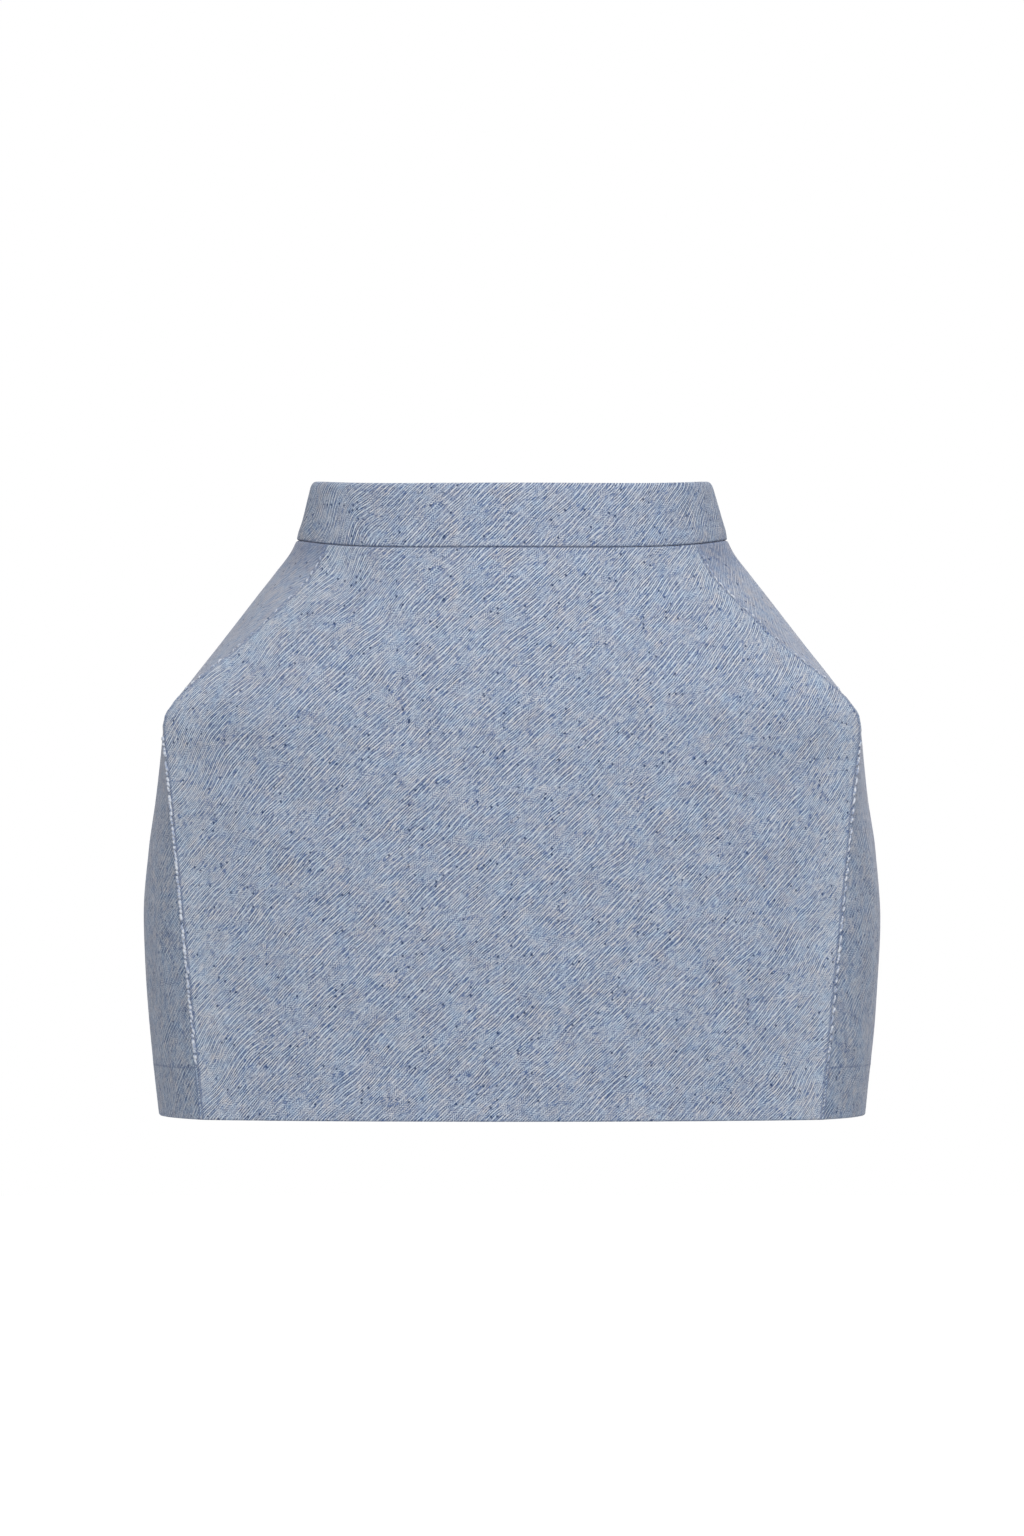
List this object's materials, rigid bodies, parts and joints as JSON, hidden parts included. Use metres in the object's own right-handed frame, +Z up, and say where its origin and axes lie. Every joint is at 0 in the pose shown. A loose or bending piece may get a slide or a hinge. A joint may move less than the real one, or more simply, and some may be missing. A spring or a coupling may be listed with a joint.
{
  "type": "knit mini skirt",
  "caption": "Structured mini skirt in firm pale-blue diagonal-rib knit, with sculpted hips, a narrow waistband and a concealed zip, held open as it is when worn.",
  "frame": {"origin": "centre of the waist opening, halfway up the waistband, 20 mm below its top edge", "axes": "+Z up out of the waist, +X to the left of whoever wears it, and -Y to the front"},
  "size_m": [0.4604, 0.252, 0.3955],
  "materials": {
    "knit": "firm pale-blue and off-white diagonal-rib knit, matt, with darker blue slubs",
    "zip_tape": "woven zip tape, matt",
    "zip_metal": "enamelled to match the cloth, satin"
  },
  "bodies": {
    "skirt": {"waistband": "knit", "front_panel": "knit", "side_panel_left": "knit", "side_panel_right": "knit", "back_panel_left": "knit", "back_panel_right": "knit", "zip_tape_left": "zip_tape", "zip_tape_right": "zip_tape", "zip_slider": "zip_metal"},
    "pull": {"zip_pull": "zip_metal"}
  },
  "joints": [
    {"name": "pull_swing", "type": "hinge", "parent": "skirt", "child": "pull", "pos_m": [0, 0.09075, 0.0145], "axis": [1, 0, 0], "range_deg": [0, 170]}
  ]
}
